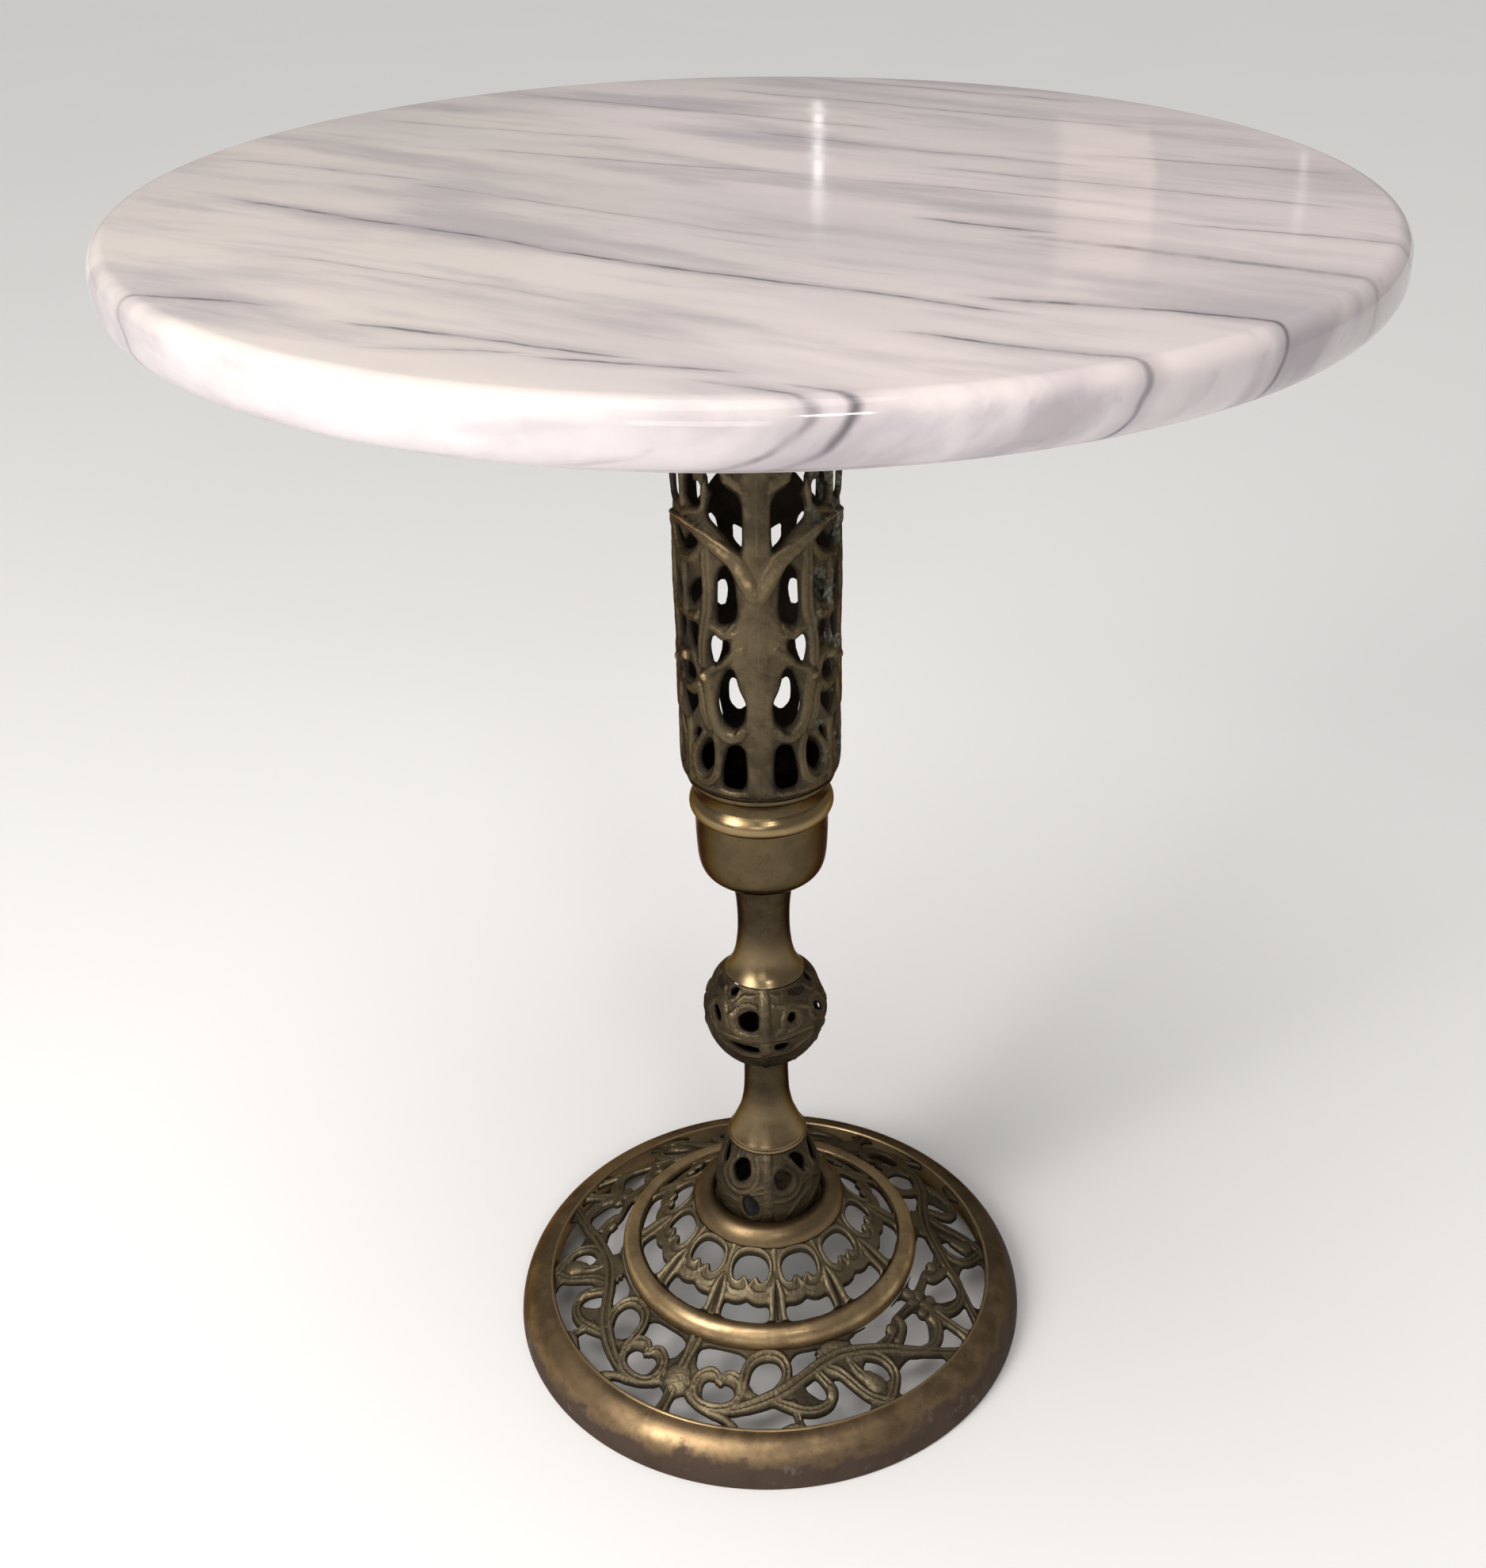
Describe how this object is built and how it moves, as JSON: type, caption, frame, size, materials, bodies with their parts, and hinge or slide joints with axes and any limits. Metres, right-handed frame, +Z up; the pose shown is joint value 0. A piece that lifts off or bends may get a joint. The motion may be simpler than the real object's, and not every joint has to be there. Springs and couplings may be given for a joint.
{
  "type": "bistro table",
  "caption": "Round white marble cafe table on a pierced brass column with an openwork ball and a wide domed, scroll-pierced foot.",
  "frame": {"origin": "on the floor, on the axis of the column, under the middle of the foot", "axes": "+Z up along the column; -Y is the front of the table as it is pictured; +X is to its right"},
  "size_m": [0.61, 0.61, 0.711],
  "materials": {
    "white_marble": "polished",
    "aged_brass": "polished and patinated",
    "antique_brass": "antiqued casting",
    "zinc_steel": "zinc plated"
  },
  "bodies": {
    "root": {"marble_top": "white_marble", "marble_insert_1": "aged_brass", "marble_insert_2": "aged_brass", "marble_insert_3": "aged_brass", "marble_insert_4": "aged_brass", "plate_screw_1": "zinc_steel", "plate_screw_2": "zinc_steel", "plate_screw_3": "zinc_steel", "plate_screw_4": "zinc_steel", "top_plate": "zinc_steel", "top_nut": "zinc_steel", "tie_rod": "zinc_steel", "clamp_plate": "zinc_steel", "bottom_washer": "zinc_steel", "bottom_nut": "zinc_steel", "column_cap": "antique_brass", "column_panel_1": "antique_brass", "column_panel_2": "antique_brass", "column_panel_3": "antique_brass", "column_cup": "antique_brass", "upper_spindle": "aged_brass", "ball_upper": "antique_brass", "ball_lower": "antique_brass", "lower_spindle": "aged_brass", "bell": "antique_brass", "inner_ring": "aged_brass", "lattice_band": "antique_brass", "middle_ring": "aged_brass", "scroll_band": "antique_brass", "base_rim": "aged_brass"}
  },
  "joints": []
}
